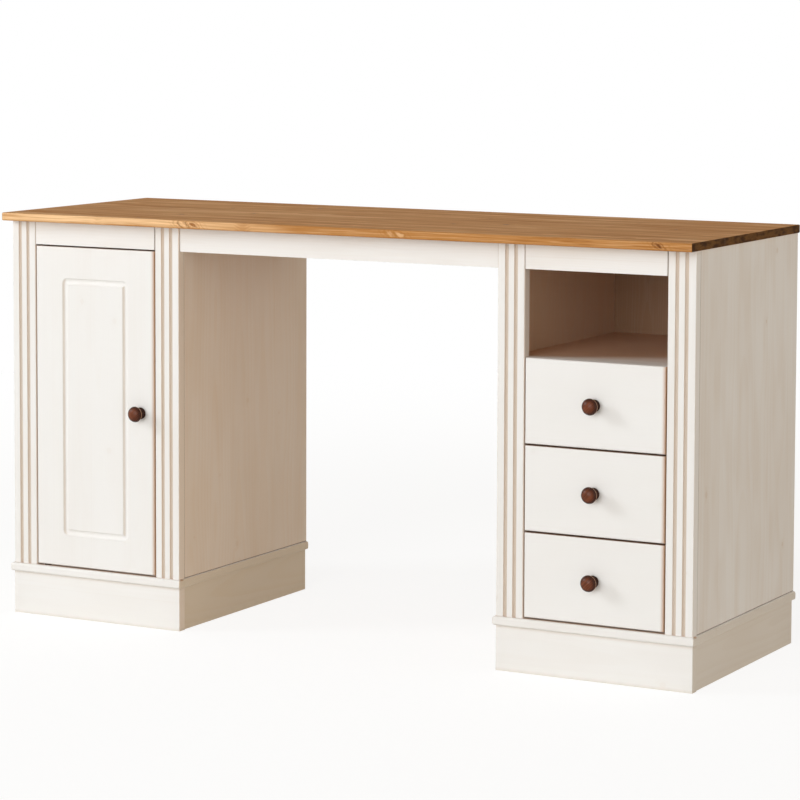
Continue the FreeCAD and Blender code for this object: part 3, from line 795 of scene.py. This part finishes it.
def waxed_honey(node):
    """Waxed honey pine of the top, glued up from wide staves and streaked along the grain.

    Its front edge is lighter at the left as painted light and darker at the right as painted shade, with a few
    branches cut through, and painted shade along its lower edge.
    """
    material, web, shader = new_material("waxed_honey." + node)
    places = board_place(web, node)
    along, across, through = places
    grain = pine_grain(web, node, places, TOP_STAVE, RING_SPACING)
    marks = brush_marks(web, seed_of(node), places)
    lines = brush_marks(web, seed_of(node), (along, through, across), FRONT_LINES)["Streak"]
    x = web.part_place()[0]
    front = side_mask(web, (FORWARD,))
    # Painted light and shade: the front edge is lighter at the left, nearer the lamp, and darker at the right
    pale = web.times(front, web.step(x, *PALE_END))
    painted_shade = web.times(front, web.step(x, *SHADED_END))

    layers = [(web.times(grain["Stave Tone"], 0.3), HONEY_PALE), (pale, HONEY_PALE)]
    for scales in (LONG_BANDS, SHORT_BANDS):
        bands = brush_marks(web, seed_of(node), places, scales)["Streak"]
        layers.append((web.times(web.step(bands, *PALE_BAND), 0.6), HONEY_PALE))
        layers.append((web.times(web.step(bands, *DARK_BAND), 0.6), HONEY_RING))
    layers += [
        (web.times(painted_shade, 0.5), HONEY_RING),
        (web.times(painted_shade, web.step(lines, 0.5, 0.72)), HONEY_KNOT_RIM),
        (web.times(front, web.step(lines, 0.48, 0.3), 0.4), HONEY_PALE),
        (web.times(grain["Rings"], web.less(0.6, web.times(pale, 0.35))), HONEY_RING),
        (web.times(web.step(grain["Fibres"], 0.42, 0.75), 0.45), HONEY_RING),
        (web.times(web.step(marks["Cloud"], 0.4, 0.8), 0.3), HONEY_RING),
        (web.times(grain["Knot Halo"], 0.4), HONEY_RING),
        (web.times(grain["Knots"], 0.7), HONEY_KNOT),
        (web.times(grain["Joint"], 0.35), HONEY_KNOT),
    ]
    for knot in EDGE_KNOTS:
        layers += edge_knot_layers(web, node, knot, front)
    # Painted shade along the lower part of the front edge
    painted_underside_shade = near(web, "z", end_of(node, "z", False), EDGE_SHADE)
    layers += [
        (web.times(front, painted_underside_shade, 0.6), HONEY_RING),
        (side_mask(web, (LEFTWARD, RIGHTWARD)), end_grain(web, node, places, grain["Rings"])),
    ]
    roughness = web.less(web.span(marks["Streak"], *WAX_ROUGHNESS), web.times(grain["Knots"], 0.25))
    height = web.less(web.times(marks["Streak"], 0.3), grain["Rings"])
    lay_on(web, shader, web.coats(HONEY, *layers), roughness, height, WAX_RELIEF)
    shader.inputs["Specular IOR Level"].default_value = WAX_SHINE
    return material


def bare_pine(node, stave_width=PANEL_STAVE):
    """Plain sanded pine of the drawer boxes and hidden rails."""
    material, web, shader = new_material("bare_pine." + node)
    places = board_place(web, node)
    grain = pine_grain(web, node, places, stave_width, RING_SPACING)
    marks = brush_marks(web, seed_of(node), places)
    look = web.group(SANDED_PINE, Streak=marks["Streak"], **shared(grain, ("Rings", "Fibres", "Knots")))
    lay_look(web, shader, look, BARE_PINE_RELIEF)
    return material


def sanded_beech(node):
    """Beech of the runners: close grain with short flecks."""
    material, web, shader = new_material("sanded_beech." + node)
    places = board_place(web, node)
    marks = brush_marks(web, seed_of(node), places)
    look = web.group(BEECH_FLECKS, Streak=marks["Streak"], **dict(zip(PLACES, places)))
    lay_look(web, shader, look, BEECH_RELIEF)
    return material


def stained_knob(node):
    """Dark stain and lacquer over a turned knob, whose grain runs slanting across it."""
    material, web, shader = new_material("stained_knob." + node)
    low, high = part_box(node)
    middle = middle_of(node)
    x, y, z = web.part_place()
    right = web.less(x, middle[0])
    up = web.less(z, middle[2])
    slanting = (web.add(right, up), web.less(right, up), web.times(y, KNOB_DEPTH_SCALE))
    grain = pine_grain(web, node, slanting, KNOB_STAVE, KNOB_RING_SPACING)
    marks = brush_marks(web, seed_of(node), slanting, KNOB_MARKS)
    rim = high[1] - (high[1] - low[1]) * KNOB_RIM_SHARE
    look = web.group(
        KNOB_STAIN_AND_SHADE, Rings=grain["Rings"], Streak=marks["Streak"], From_Middle=web.length(right, up),
        Head=(high[0] - low[0]) / 2, Behind_Rim=web.less(y, rim),
    )
    lay_on(web, shader, look["Colour"], look["Roughness"], grain["Rings"], KNOB_RELIEF)
    shader.inputs["Specular IOR Level"].default_value = LACQUER_SHINE
    return material


def dull_steel(name):
    """Plated steel with fine rubbed lines and duller patches."""
    material, web, shader = new_material(name)
    x, y, z = web.part_place()
    marks = brush_marks(web, STEEL_SEED, (z, x, y), STEEL_MARKS)
    colour = web.mix(marks["Cloud"], STEEL, STEEL_DULL)
    lay_on(web, shader, colour, web.span(marks["Streak"], *STEEL_ROUGHNESS), marks["Streak"], STEEL_RELIEF)
    shader.inputs["Metallic"].default_value = 1.0
    return material


def moulded_plastic(name):
    """Brown moulded plastic with a fine spark-eroded texture and a few scuffs."""
    material, web, shader = new_material(name)
    place = web.node("TexCoord").outputs["Object"]
    pits = web.noise(place, detail=2.0, scale=2600.0)
    scuff = web.step(web.noise(place, detail=3.0, scale=160.0), 0.55, 0.75)
    colour = web.mix(web.times(scuff, 0.5), PLASTIC, PLASTIC_SCUFF)
    lay_on(web, shader, colour, web.span(scuff, *PLASTIC_ROUGHNESS), pits, PLASTIC_RELIEF)
    return material


# Finish of each piece

def dress(node, material):
    """Gives a CAD node its finish."""
    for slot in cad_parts[node].material_slots:
        slot.link = "OBJECT"
        slot.material = material


def glaze(node, **options):
    """Gives a CAD node the white glaze."""
    dress(node, white_glazed(node, **options))


# Painted shade: the sides that look into the kneehole get a browner glaze for the shade and warm bounce there
def kneehole(side):
    return ThinAndShaded((INWARD[side],), SHADED_KNEEHOLE_GLAZE, 0.6)


# Painted shade: a greyer glaze low on the outer sides, which lie in shade
def low_outside(side):
    return ThinAndShaded((OUTWARD[side],), SHADED_PLINTH_GLAZE, 0.6)


# Painted shade: a still browner glaze low on the sides that look into the kneehole
def low_inside(side):
    return ThinAndShaded((INWARD[side],), SHADED_INNER_PLINTH_GLAZE, 0.95)


def upright_seams(places):
    """Dark line where a rail or an apron meets its neighbours."""
    return [Line("x", place, SEAM_LINE, SEAM_DIRT_AND_SHADE, 0.65) for place in places]


def dress_sides(side):
    seams = ThinAndShaded((FORWARD, DOWNWARD), SEAM_DIRT_AND_SHADE, 0.35)
    # Painted shadow: a dark line along the side's foot, where it meets the base board
    foot = Line("z", end_of(f"{side}_outer_side", "z", False), SEAM_LINE, SEAM_DIRT_AND_SHADE, 1.0)
    wide = {"ring_spacing": WIDE_RING_SPACING, "lines": (foot,)}
    # Painted shade: faces inside the bays get a darker, warmer glaze for the shade there
    into_bay = ThinAndShaded((INWARD[side],), SHADED_INSIDE_GLAZE, 1.0)
    glaze(f"{side}_outer_side", thin=(into_bay, seams), **wide)
    into_bay = ThinAndShaded((OUTWARD[side],), SHADED_INSIDE_GLAZE, 1.0)
    glaze(f"{side}_inner_side", show=1.1, thin=(into_bay, kneehole(side), seams), **wide)


def dress_base(side):
    """Base board with painted shade on its top where it shows in the gap under the fronts, and the plinth below it.
    """
    face = end_of(f"{side}_outer_stile", "y", False)
    # Painted shade on the base board's top, where it shows dark in the gap under the fronts
    gap_shade_line = Line("y", face + GAP_SHADE_DEPTH / 2, GAP_SHADE_DEPTH, BARE_EDGE_AND_SHADE, 0.9, (UPWARD,))
    glaze(f"{side}_base_board", show=0.3, thin=(low_inside(side), low_outside(side)), lines=(gap_shade_line,))
    wide = {"stave_width": PLINTH_STAVE, "ring_spacing": WIDE_RING_SPACING}
    glaze(f"{side}_plinth_outer_side", show=0.45, thin=(low_outside(side),), **wide)
    glaze(f"{side}_plinth_inner_side", show=0.6, thin=(low_inside(side),), **wide)
    glaze(f"{side}_plinth_rear", show=0.45, **wide)
    front = f"{side}_plinth_front"
    # Painted shadow under the base board's nose, and painted shade along the floor
    shadow_under_nose = Line("z", end_of(front, "z", True), SHADOW_LINE_WIDTH, GLAZE_WORN_AND_SHADE, 0.4)
    floor_contact_shade = Line("z", end_of(front, "z", False), SHADOW_LINE_WIDTH, SHADED_PLINTH_GLAZE, 0.5)
    glaze(front, show=0.22, thin=(kneehole(side), low_outside(side)), lines=(shadow_under_nose, floor_contact_shade), **wide)


def dress_face_frame(side):
    fluted = {"stave_width": FRAME_STAVE, "show": 0.3, "rub": RubAndShade(1.0)}
    # Painted shade: the stiles' faces that look into the bays get the darker worn glaze for the shade in the openings
    into_bay = ThinAndShaded((INWARD[side], BACKWARD), GLAZE_WORN_AND_SHADE, 0.35)
    glaze(f"{side}_outer_stile", thin=(into_bay,), **fluted)
    into_bay = ThinAndShaded((OUTWARD[side], BACKWARD), GLAZE_WORN_AND_SHADE, 0.35)
    glaze(f"{side}_inner_stile", thin=(kneehole(side), into_bay), **fluted)
    rail = f"{side}_head_rail"
    bare = ThinAndShaded((DOWNWARD, BACKWARD), BARE_EDGE_AND_SHADE, 0.8)
    ends = [end_of(rail, "x", at_high) for at_high in (False, True)]
    glaze(rail, stave_width=FRAME_STAVE, show=0.4, thin=(bare,), lines=upright_seams(ends))


def dress_carcass():
    for side in PEDESTALS:
        dress_sides(side)
        dress_base(side)
        dress_face_frame(side)
        dress(f"{side}_top_rails", bare_pine(f"{side}_top_rails"))
        dress(f"{side}_drawer_runners", sanded_beech(f"{side}_drawer_runners"))
    shoulders = (end_of("left_inner_stile", "x", True), end_of("right_inner_stile", "x", False))
    for name in ("front_apron", "rear_apron"):
        glaze(name, stave_width=FRAME_STAVE, show=0.4, lines=upright_seams(shoulders))
    # Painted shade: the backs and shelves inside the bays are darkened for the shade that lies there
    glaze("left_back_panel", thin=(ThinAndShaded((FORWARD,), SHADED_INSIDE_GLAZE, 1.0),))
    glaze("right_back_panel", show=0.5, thin=(ThinAndShaded((FORWARD,), SHADED_COMPARTMENT_BACK, 1.06),))
    glaze("cupboard_shelf", thin=(ThinAndShaded((UPWARD, DOWNWARD), SHADED_INSIDE_GLAZE, 1.0),))
    # Painted light: a white wedge at the shelf's front, widening to the right, for the light that falls in from the
    # left
    glaze("compartment_shelf", thin=(ThinAndShaded((UPWARD,), SHADED_COMPARTMENT_FLOOR, 1.04),), pale_front=LIT_SHELF_WEDGE)
    dress("desk_top", waxed_honey("desk_top"))


def worn_and_shaded_rim(node):
    """Line along the right edge of a front, where hands have rubbed the glaze off, darkened further as painted shade
    on the eased edge that faces away from the light.
    """
    return Line("x", end_of(node, "x", True), WORN_SHADED_RIM, BARE_EDGE_AND_SHADE, 0.75, (FORWARD,))


def dress_door_and_drawers():
    # Painted shade: the routed line is darker only on its slopes that look to the right, away from the light
    glaze(
        "door_panel", stave_width=DOOR_STAVE, show=0.18, rub=RubAndShade(0.6, DOOR_RIM, RIGHTWARD),
        lines=(worn_and_shaded_rim("door_panel"),), bare_edges=(*SIDE_EDGES, TOP_EDGE),
    )
    for word in DRAWERS:
        front = f"{word}_drawer_front"
        edges = SIDE_EDGES if word == "top" else (*SIDE_EDGES, TOP_EDGE)
        glaze(front, stave_width=DRAWER_FRONT_STAVE, show=0.1, lines=(worn_and_shaded_rim(front),), bare_edges=edges)
        for name in ("left_side", "right_side", "back", "bottom"):
            board = f"{word}_drawer_{name}"
            dress(board, bare_pine(board, stave_width=DRAWER_BOX_STAVE))


def dress_fittings():
    """Dresses steel and plastic fittings, and gives the steel back for the screws."""
    steel = dull_steel("dull_steel")
    for name in ("door_pivot_pins", "catch_plate", "shelf_pins"):
        dress(name, steel)
    plastic = moulded_plastic("moulded_plastic")
    for name in ("pivot_bushes", "magnet_catch"):
        dress(name, plastic)
    return steel


def finished(name, mesh):
    """Object made from a finished bmesh."""
    data = bpy.data.meshes.new(name)
    mesh.to_mesh(data)
    mesh.free()
    piece = bpy.data.objects.new(name, data)
    bpy.context.scene.collection.objects.link(piece)
    return piece


# Turned knobs

KNOB_STEPS = 72
ON_AXIS = 1e-6


def arc(centre, radius_x, radius_y, start, end, count):
    """Points on an ellipse's arc between two angles in degrees."""
    points = []
    for i in range(count + 1):
        angle = math.radians(start + (end - start) * i / count)
        points.append((centre[0] + radius_x * math.cos(angle), centre[1] + radius_y * math.sin(angle)))
    return points


def knob_profile(head, reach):
    """Radius and reach along a knob's outline, from the foot to the tip."""
    foot = head * 0.76
    foot_top = reach * 0.1
    waist = head * 0.56
    hollow = foot * 0.98
    rim_back = reach * 0.6
    half_neck = (rim_back - foot_top) * 0.5
    bead = reach * 0.05
    lip = reach * 0.03
    points = [(0.0, 0.0)]
    points += arc((foot - lip, bead), lip, bead, -90, 90, 8)
    points += arc((hollow, foot_top + half_neck), waist - hollow, half_neck, -88, 60, 18)
    points += arc((head - bead, rim_back + bead), bead, bead, -90, 20, 8)
    points += arc((0.0, rim_back + bead), head, reach * 0.95 - rim_back, 8, 90, 26)
    return points


def turned(name, profile, place):
    """Smooth round turned about the line through a place that runs to the front."""
    mesh = bmesh.new()
    rings = []
    turns = [2 * math.pi * i / KNOB_STEPS for i in range(KNOB_STEPS)]
    for radius, reach in profile:
        if radius < ON_AXIS:
            rings.append([mesh.verts.new((place[0], place[1] - reach, place[2]))])
            continue
        rings.append([
            mesh.verts.new((place[0] + radius * math.cos(t), place[1] - reach, place[2] + radius * math.sin(t)))
            for t in turns
        ])
    for back, front in zip(rings, rings[1:]):
        for i in range(KNOB_STEPS):
            corners = [ring[j] for ring, ends in ((back, (i - 1, i)), (front, (i, i - 1)))
                       for j in (ends if len(ring) > 1 else (0,))]
            mesh.faces.new(corners).smooth = True
    bmesh.ops.recalc_face_normals(mesh, faces=mesh.faces)
    return finished(name, mesh)


def turn_knobs():
    for body in ("door", *(f"{word}_drawer" for word in DRAWERS)):
        node = body + "_knob"
        low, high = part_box(node)
        x, _, z = middle_of(node)
        profile = knob_profile((high[0] - low[0]) / 2, high[1] - low[1])
        knob = turned(body + "_turned_knob", profile, (x, high[1], z))
        knob.data.materials.append(stained_knob(node))
        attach(knob, body)
        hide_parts(node)


# Screws

SCREW_RADIUS = 0.004
SCREW_HEIGHT = 0.0022
# Outline of a head: share of its radius and share of its height
SCREW_OUTLINE = ((1.0, 0.0), (1.0, 0.45), (0.93, 0.75), (0.78, 0.95), (0.68, 1.0))
SCREW_STEPS = 28
SLOT_REACH = 0.0023
SLOT_HALF = 0.0005
SLOT_DEPTH = 0.0012
SLOT_TAPER = 0.7
RAIL_WIDTH = 0.08
# Places of the screws along a rail, as shares of its length
RAIL_SCREWS = (0.2, 0.8)


def ring_of(mesh, points):
    """Closed row of edges through points: its corners and edges."""
    corners = [mesh.verts.new(point) for point in points]
    return corners, [mesh.edges.new((corners[i - 1], corners[i])) for i in range(len(corners))]


def wall_between(mesh, lower, upper, smooth):
    for i in range(len(lower)):
        mesh.faces.new([lower[i - 1], lower[i], upper[i], upper[i - 1]]).smooth = smooth


def cross_head_screw(name, place, way, body):
    """Head of a cross-slot screw that lies on a surface and looks along a direction."""
    mesh = bmesh.new()
    turns = [2 * math.pi * i / SCREW_STEPS for i in range(SCREW_STEPS)]
    rings = [
        ring_of(mesh, [
            (SCREW_RADIUS * share * math.cos(t), SCREW_RADIUS * share * math.sin(t), SCREW_HEIGHT * level)
            for t in turns
        ])
        for share, level in SCREW_OUTLINE
    ]
    for lower, upper in zip(rings, rings[1:]):
        wall_between(mesh, lower[0], upper[0], True)
    corner = ((SLOT_HALF, SLOT_HALF), (SLOT_HALF, SLOT_REACH), (-SLOT_HALF, SLOT_REACH))
    cross = []
    for quarter in range(4):
        turn = Matrix.Rotation(quarter * math.pi / 2, 2)
        cross += [turn @ Vector(point) for point in corner]
    top, top_edges = ring_of(mesh, [(x, y, SCREW_HEIGHT) for x, y in cross])
    floor, _ = ring_of(mesh, [(x * SLOT_TAPER, y * SLOT_TAPER, SCREW_HEIGHT - SLOT_DEPTH) for x, y in cross])
    bmesh.ops.triangle_fill(mesh, edges=rings[-1][1] + top_edges, use_beauty=True)
    wall_between(mesh, floor, top, False)
    mesh.faces.new(floor)
    bmesh.ops.recalc_face_normals(mesh, faces=mesh.faces)
    turned_to = Vector(way).to_track_quat("Z", "Y").to_matrix().to_4x4()
    bmesh.ops.transform(mesh, matrix=Matrix.Translation(place) @ turned_to, verts=mesh.verts)
    screw = finished(name, mesh)
    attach(screw, body)
    return screw


def drive_screws(steel):
    """Screws that hold the knobs from behind, and the top from under its rails."""
    screws = []
    for body, board in (("door", "door_panel"), *((f"{word}_drawer", f"{word}_drawer_front") for word in DRAWERS)):
        x, _, z = middle_of(body + "_knob")
        place = (x, end_of(board, "y", True), z)
        screws.append(cross_head_screw(body + "_knob_screw", place, BACKWARD, body))
    for side in PEDESTALS:
        low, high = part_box(f"{side}_top_rails")
        for row, y in (("front", low[1] + RAIL_WIDTH / 2), ("rear", high[1] - RAIL_WIDTH / 2)):
            for i, share in enumerate(RAIL_SCREWS):
                place = (low[0] + (high[0] - low[0]) * share, y, low[2])
                name = f"{side}_{row}_rail_screw_{i + 1}"
                screws.append(cross_head_screw(name, place, DOWNWARD, "frame"))
    for screw in screws:
        screw.data.materials.append(steel)


# Studio

CAMERA_PLACE = (2.66904, -4.87182, 1.16642)
CAMERA_TURN = 28.572
CAMERA_DOWN = 4.422
CAMERA_TILT = 0.191
CAMERA_LENS = 136.67
CAMERA_SENSOR = 36.0
CAMERA_SHIFT = -0.21
CAMERA_SIGHT = 200.0

FLOOR_HALF = 30.0
FLOOR_SHADED = 1.2
FLOOR_PLAIN = 4.0
FLOOR_GLOW = 1.14
FLOOR_GLOW_SHARE = 0.75
FLOOR_ROUGHNESS = 0.9
FLOOR_WHITE = srgb(236, 235, 232)

WHITE = (1.0, 1.0, 1.0, 1.0)
WARM_FILL = (1.0, 0.88, 0.74, 1.0)
COOL_KEY = (0.86, 0.93, 1.0)
FILL_AT_HORIZON = 0.8
FILL_OVERHEAD = 0.05
LIT_PLACE = (0.0, 0.0, 0.38)
# Name, place, side, power in watts and colour
SOFTBOXES = (
    ("front_softbox", (0.6, -9.6, 2.7), 5.5, 420.0, COOL_KEY),
    ("left_window", (-5.7, -3.7, 3.55), 1.9, 180.0, COOL_KEY),
    ("right_fill", (7.0, -1.0, 1.6), 3.0, 45.0, WARM_FILL[:3]),
)


def set_camera():
    data = bpy.data.cameras.new("camera")
    data.lens = CAMERA_LENS
    data.sensor_width = CAMERA_SENSOR
    data.shift_y = CAMERA_SHIFT
    data.clip_end = CAMERA_SIGHT
    camera = bpy.data.objects.new("camera", data)
    camera.matrix_world = (
        Matrix.Translation(CAMERA_PLACE)
        @ Matrix.Rotation(math.radians(CAMERA_TURN), 4, "Z")
        @ Matrix.Rotation(math.radians(90.0 - CAMERA_DOWN), 4, "X")
        @ Matrix.Rotation(math.radians(CAMERA_TILT), 4, "Z")
    )
    bpy.context.scene.collection.objects.link(camera)
    bpy.context.scene.camera = camera


def seen_directly(web):
    """1 where the camera, a mirror or glass looks straight at the background."""
    rays = web.node("LightPath").outputs
    seen = web.math("MAXIMUM", rays["Is Camera Ray"], rays["Is Glossy Ray"])
    return web.math("MAXIMUM", seen, rays["Is Transmission Ray"])


def blend_shaders(web, output, share, first, second):
    """Feeds an output with two shaders, the second in a share."""
    blend = web.node("MixShader")
    for socket, value in zip(blend.inputs, (share, first.outputs[0], second.outputs[0])):
        web.feed(socket, value)
    web.feed(web.tree.nodes[output].inputs["Surface"], blend.outputs[0])


def set_floor():
    """Pale floor that looks white where no shadow lies on it."""
    mesh = bmesh.new()
    corners = [(-1, -1), (1, -1), (1, 1), (-1, 1)]
    mesh.faces.new([mesh.verts.new((x * FLOOR_HALF, y * FLOOR_HALF, 0.0)) for x, y in corners])
    floor = finished("floor", mesh)
    material, web, shader = new_material("pale_floor")
    shader.inputs["Base Color"].default_value = FLOOR_WHITE
    shader.inputs["Roughness"].default_value = FLOOR_ROUGHNESS
    shader.inputs["Specular IOR Level"].default_value = 0.0
    glow = web.node("Emission")
    x, y, _ = web.part_place()
    far = web.step(web.length(x, y), FLOOR_SHADED, FLOOR_PLAIN)
    web.feed(glow.inputs["Strength"], web.span(far, FLOOR_GLOW, 1.0))
    glowing = web.times(seen_directly(web), web.span(far, FLOOR_GLOW_SHARE, 1.0))
    blend_shaders(web, "Material Output", glowing, shader, glow)
    floor.data.materials.append(material)


def set_surroundings():
    """Warm even fill that is weak overhead, seen as plain white."""
    world = bpy.data.worlds.new("studio")
    world.use_nodes = True
    bpy.context.scene.world = world
    web = Web(world.node_tree)
    fill = world.node_tree.nodes["Background"]
    height = web.split(web.node("TexCoord").outputs["Generated"])[2]
    fill.inputs["Color"].default_value = WARM_FILL
    strength = web.span(web.math("MAXIMUM", height, 0.0), FILL_AT_HORIZON, FILL_OVERHEAD)
    web.feed(fill.inputs["Strength"], strength)
    white = web.node("Background")
    white.inputs["Strength"].default_value = 1.0
    white.inputs["Color"].default_value = WHITE
    blend_shaders(web, "World Output", seen_directly(web), fill, white)


def set_softboxes():
    """Cool soft keys from the front and the upper left, and a weak warm one from the right."""
    for name, place, side, power, colour in SOFTBOXES:
        lamp = bpy.data.lights.new(name, "AREA")
        lamp.shape = "SQUARE"
        lamp.size = side
        lamp.energy = power
        lamp.color = colour
        softbox = bpy.data.objects.new(name, lamp)
        softbox.location = place
        way = Vector(LIT_PLACE) - Vector(place)
        softbox.rotation_euler = way.to_track_quat("-Z", "Y").to_euler()
        bpy.context.scene.collection.objects.link(softbox)


dress_carcass()
dress_door_and_drawers()
steel = dress_fittings()
turn_knobs()
drive_screws(steel)
set_camera()
set_floor()
set_surroundings()
set_softboxes()
bpy.context.scene.view_settings.view_transform = "Standard"
